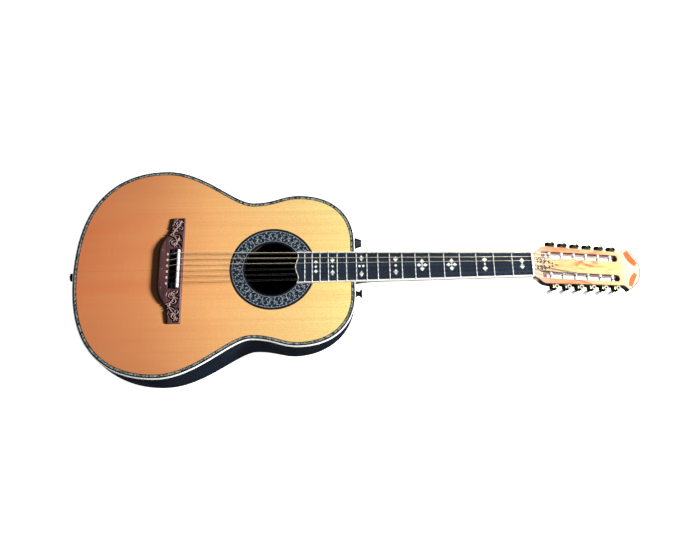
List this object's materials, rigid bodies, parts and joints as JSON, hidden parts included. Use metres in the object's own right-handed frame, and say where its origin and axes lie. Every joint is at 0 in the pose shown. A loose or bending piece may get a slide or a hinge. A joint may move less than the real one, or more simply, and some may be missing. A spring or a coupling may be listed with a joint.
{
  "type": "twelve-string acoustic guitar",
  "caption": "Acoustic guitar with a moulded bowl back, inlaid rosette, carved bridge and slotted headstock with geared side tuners.",
  "frame": {"origin": "middle of the flat on the bowl's back, which the guitar rests on", "axes": "+X along the neck to the head, +Y to the bass side, +Z out of the soundboard"},
  "size_m": [1.0613, 0.4032, 0.1606],
  "materials": {
    "bowl_shell": "satin",
    "soundboard_spruce": "gloss",
    "brace_spruce": "matte",
    "white_binding": "gloss",
    "shell_inlay": "polished",
    "rosette_inlay": "gloss",
    "carved_bridge_wood": "satin",
    "bone": "satin",
    "neck_wood": "satin",
    "head_face_wood": "gloss",
    "fretboard_ebony": "satin",
    "fret_wire": "polished",
    "truss_rod_metal": "satin",
    "black_plastic": "satin",
    "pot_metal": "satin",
    "tuner_chrome": "polished",
    "roller_steel": "polished",
    "bronze_wound_string": "polished",
    "plain_steel_string": "polished"
  },
  "bodies": {
    "guitar": {"bowl": "bowl_shell", "soundboard": "soundboard_spruce", "body_binding": "white_binding", "body_purfling": "shell_inlay", "rosette": "rosette_inlay", "x_brace": "brace_spruce", "transverse_brace": "brace_spruce", "bridge_plate": "brace_spruce", "neck_block": "brace_spruce", "bridge": "carved_bridge_wood", "saddle": "bone", "neck": "neck_wood", "truss_rod": "truss_rod_metal", "fretboard": "fretboard_ebony", "fretboard_binding": "white_binding", "frets": "fret_wire", "nut": "bone", "headstock_overlay": "head_face_wood", "strap_button_tail": "tuner_chrome", "strap_button_neck": "tuner_chrome", "volume_pot": "pot_metal", "tuner_cases_bass": "tuner_chrome", "tuner_cases_treble": "tuner_chrome", "string_bass_1": "bronze_wound_string", "string_bass_2": "bronze_wound_string", "string_bass_3": "bronze_wound_string", "string_bass_4": "bronze_wound_string", "string_bass_5": "bronze_wound_string", "string_bass_6": "bronze_wound_string", "string_treble_1": "plain_steel_string", "string_treble_2": "plain_steel_string", "string_treble_3": "plain_steel_string", "string_treble_4": "plain_steel_string", "string_treble_5": "plain_steel_string", "string_treble_6": "plain_steel_string"},
    "volume_knob": {"volume_knob": "black_plastic"},
    "tuner_button_bass_1": {"tuner_button_bass_1": "tuner_chrome"},
    "roller_bass_1": {"roller_bass_1": "roller_steel"},
    "tuner_button_bass_2": {"tuner_button_bass_2": "tuner_chrome"},
    "roller_bass_2": {"roller_bass_2": "roller_steel"},
    "tuner_button_bass_3": {"tuner_button_bass_3": "tuner_chrome"},
    "roller_bass_3": {"roller_bass_3": "roller_steel"},
    "tuner_button_bass_4": {"tuner_button_bass_4": "tuner_chrome"},
    "roller_bass_4": {"roller_bass_4": "roller_steel"},
    "tuner_button_bass_5": {"tuner_button_bass_5": "tuner_chrome"},
    "roller_bass_5": {"roller_bass_5": "roller_steel"},
    "tuner_button_bass_6": {"tuner_button_bass_6": "tuner_chrome"},
    "roller_bass_6": {"roller_bass_6": "roller_steel"},
    "tuner_button_treble_1": {"tuner_button_treble_1": "tuner_chrome"},
    "roller_treble_1": {"roller_treble_1": "roller_steel"},
    "tuner_button_treble_2": {"tuner_button_treble_2": "tuner_chrome"},
    "roller_treble_2": {"roller_treble_2": "roller_steel"},
    "tuner_button_treble_3": {"tuner_button_treble_3": "tuner_chrome"},
    "roller_treble_3": {"roller_treble_3": "roller_steel"},
    "tuner_button_treble_4": {"tuner_button_treble_4": "tuner_chrome"},
    "roller_treble_4": {"roller_treble_4": "roller_steel"},
    "tuner_button_treble_5": {"tuner_button_treble_5": "tuner_chrome"},
    "roller_treble_5": {"roller_treble_5": "roller_steel"},
    "tuner_button_treble_6": {"tuner_button_treble_6": "tuner_chrome"},
    "roller_treble_6": {"roller_treble_6": "roller_steel"}
  },
  "joints": [
    {"name": "volume_turn", "type": "hinge", "parent": "guitar", "child": "volume_knob", "pos_m": [0.2202, 0.06, 0.117], "axis": [1, 0, 0], "range_deg": [0, 280]},
    {"name": "button_turn_bass_1", "type": "hinge", "parent": "guitar", "child": "tuner_button_bass_1", "pos_m": [0.58326, 0.04142, 0.1248], "axis": [0.1908, 0, 0.9816], "continuous": true},
    {"name": "roller_turn_bass_1", "type": "hinge", "parent": "guitar", "child": "roller_bass_1", "pos_m": [0.57876, 0.0195, 0.14045], "axis": [0, 1, 0], "continuous": true},
    {"name": "button_turn_bass_2", "type": "hinge", "parent": "guitar", "child": "tuner_button_bass_2", "pos_m": [0.60721, 0.04081, 0.12014], "axis": [0.1908, 0, 0.9816], "continuous": true},
    {"name": "roller_turn_bass_2", "type": "hinge", "parent": "guitar", "child": "roller_bass_2", "pos_m": [0.60271, 0.0195, 0.13579], "axis": [0, 1, 0], "continuous": true},
    {"name": "button_turn_bass_3", "type": "hinge", "parent": "guitar", "child": "tuner_button_bass_3", "pos_m": [0.63116, 0.04021, 0.11549], "axis": [0.1908, 0, 0.9816], "continuous": true},
    {"name": "roller_turn_bass_3", "type": "hinge", "parent": "guitar", "child": "roller_bass_3", "pos_m": [0.62667, 0.0195, 0.13113], "axis": [0, 1, 0], "continuous": true},
    {"name": "button_turn_bass_4", "type": "hinge", "parent": "guitar", "child": "tuner_button_bass_4", "pos_m": [0.65511, 0.03961, 0.11083], "axis": [0.1908, 0, 0.9816], "continuous": true},
    {"name": "roller_turn_bass_4", "type": "hinge", "parent": "guitar", "child": "roller_bass_4", "pos_m": [0.65062, 0.0195, 0.12648], "axis": [0, 1, 0], "continuous": true},
    {"name": "button_turn_bass_5", "type": "hinge", "parent": "guitar", "child": "tuner_button_bass_5", "pos_m": [0.67907, 0.03901, 0.10618], "axis": [0.1908, 0, 0.9816], "continuous": true},
    {"name": "roller_turn_bass_5", "type": "hinge", "parent": "guitar", "child": "roller_bass_5", "pos_m": [0.67457, 0.0195, 0.12182], "axis": [0, 1, 0], "continuous": true},
    {"name": "button_turn_bass_6", "type": "hinge", "parent": "guitar", "child": "tuner_button_bass_6", "pos_m": [0.70302, 0.03841, 0.10152], "axis": [0.1908, 0, 0.9816], "continuous": true},
    {"name": "roller_turn_bass_6", "type": "hinge", "parent": "guitar", "child": "roller_bass_6", "pos_m": [0.69852, 0.0195, 0.11717], "axis": [0, 1, 0], "continuous": true},
    {"name": "button_turn_treble_1", "type": "hinge", "parent": "guitar", "child": "tuner_button_treble_1", "pos_m": [0.58326, -0.04142, 0.1248], "axis": [0.1908, 0, 0.9816], "continuous": true},
    {"name": "roller_turn_treble_1", "type": "hinge", "parent": "guitar", "child": "roller_treble_1", "pos_m": [0.57876, -0.0195, 0.14045], "axis": [0, 1, 0], "continuous": true},
    {"name": "button_turn_treble_2", "type": "hinge", "parent": "guitar", "child": "tuner_button_treble_2", "pos_m": [0.60721, -0.04081, 0.12014], "axis": [0.1908, 0, 0.9816], "continuous": true},
    {"name": "roller_turn_treble_2", "type": "hinge", "parent": "guitar", "child": "roller_treble_2", "pos_m": [0.60271, -0.0195, 0.13579], "axis": [0, 1, 0], "continuous": true},
    {"name": "button_turn_treble_3", "type": "hinge", "parent": "guitar", "child": "tuner_button_treble_3", "pos_m": [0.63116, -0.04021, 0.11549], "axis": [0.1908, 0, 0.9816], "continuous": true},
    {"name": "roller_turn_treble_3", "type": "hinge", "parent": "guitar", "child": "roller_treble_3", "pos_m": [0.62667, -0.0195, 0.13113], "axis": [0, 1, 0], "continuous": true},
    {"name": "button_turn_treble_4", "type": "hinge", "parent": "guitar", "child": "tuner_button_treble_4", "pos_m": [0.65511, -0.03961, 0.11083], "axis": [0.1908, 0, 0.9816], "continuous": true},
    {"name": "roller_turn_treble_4", "type": "hinge", "parent": "guitar", "child": "roller_treble_4", "pos_m": [0.65062, -0.0195, 0.12648], "axis": [0, 1, 0], "continuous": true},
    {"name": "button_turn_treble_5", "type": "hinge", "parent": "guitar", "child": "tuner_button_treble_5", "pos_m": [0.67907, -0.03901, 0.10618], "axis": [0.1908, 0, 0.9816], "continuous": true},
    {"name": "roller_turn_treble_5", "type": "hinge", "parent": "guitar", "child": "roller_treble_5", "pos_m": [0.67457, -0.0195, 0.12182], "axis": [0, 1, 0], "continuous": true},
    {"name": "button_turn_treble_6", "type": "hinge", "parent": "guitar", "child": "tuner_button_treble_6", "pos_m": [0.70302, -0.03841, 0.10152], "axis": [0.1908, 0, 0.9816], "continuous": true},
    {"name": "roller_turn_treble_6", "type": "hinge", "parent": "guitar", "child": "roller_treble_6", "pos_m": [0.69852, -0.0195, 0.11717], "axis": [0, 1, 0], "continuous": true}
  ],
  "couplings": [
    {"joint": "roller_turn_bass_1", "follows": "button_turn_bass_1", "ratio": 0.066667},
    {"joint": "roller_turn_bass_2", "follows": "button_turn_bass_2", "ratio": 0.066667},
    {"joint": "roller_turn_bass_3", "follows": "button_turn_bass_3", "ratio": 0.066667},
    {"joint": "roller_turn_bass_4", "follows": "button_turn_bass_4", "ratio": 0.066667},
    {"joint": "roller_turn_bass_5", "follows": "button_turn_bass_5", "ratio": 0.066667},
    {"joint": "roller_turn_bass_6", "follows": "button_turn_bass_6", "ratio": 0.066667},
    {"joint": "roller_turn_treble_1", "follows": "button_turn_treble_1", "ratio": -0.066667},
    {"joint": "roller_turn_treble_2", "follows": "button_turn_treble_2", "ratio": -0.066667},
    {"joint": "roller_turn_treble_3", "follows": "button_turn_treble_3", "ratio": -0.066667},
    {"joint": "roller_turn_treble_4", "follows": "button_turn_treble_4", "ratio": -0.066667},
    {"joint": "roller_turn_treble_5", "follows": "button_turn_treble_5", "ratio": -0.066667},
    {"joint": "roller_turn_treble_6", "follows": "button_turn_treble_6", "ratio": -0.066667}
  ]
}
